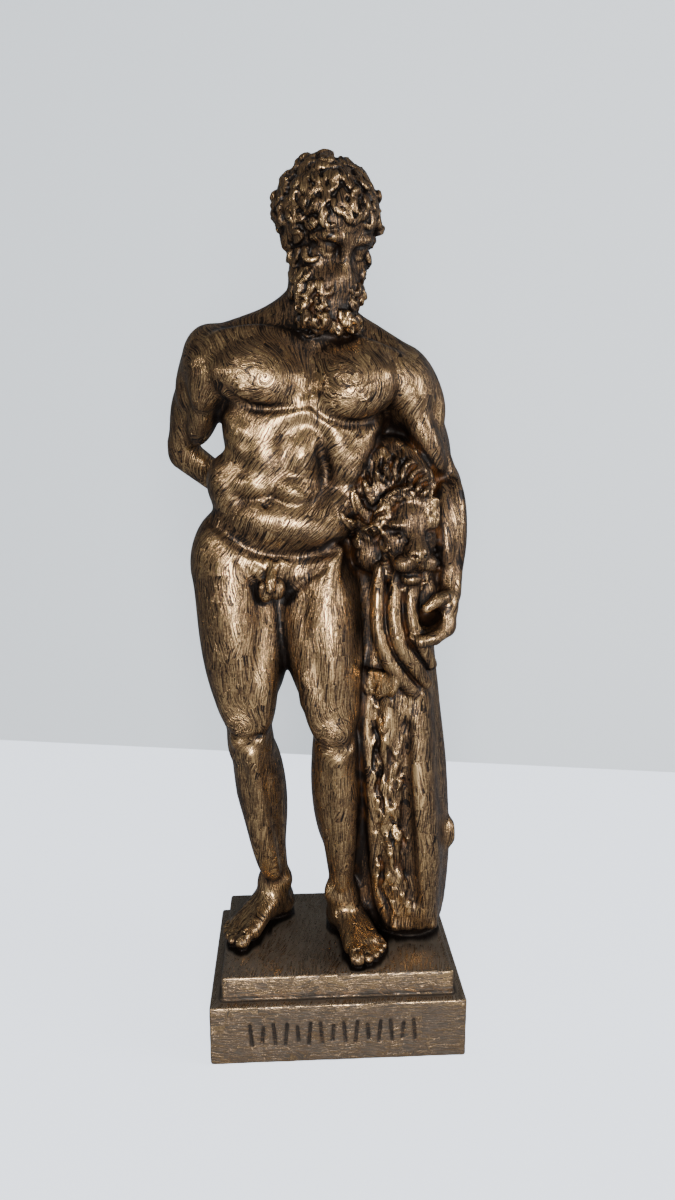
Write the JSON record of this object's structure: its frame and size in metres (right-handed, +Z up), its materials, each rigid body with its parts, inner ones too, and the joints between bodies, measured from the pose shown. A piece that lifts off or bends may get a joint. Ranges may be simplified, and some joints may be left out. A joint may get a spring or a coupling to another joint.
{
  "type": "hercules statue",
  "caption": "Small cast statuette of a bearded athlete at rest, leaning on a trunk hung with a lion's pelt, on a stepped rectangular plinth.",
  "frame": {"origin": "middle of the plinth's flat underside", "axes": "+Z up, the figure and the marked face of the plinth look along -Y, the trunk stands on the +X side"},
  "size_m": [0.1037, 0.0645, 0.3001],
  "materials": {
    "bronze_paint": "black-brown undercoat with bronze-gold paint rubbed over the raised parts, satin, on cast plaster"
  },
  "bodies": {
    "root": {"statue": "bronze_paint"}
  },
  "joints": []
}
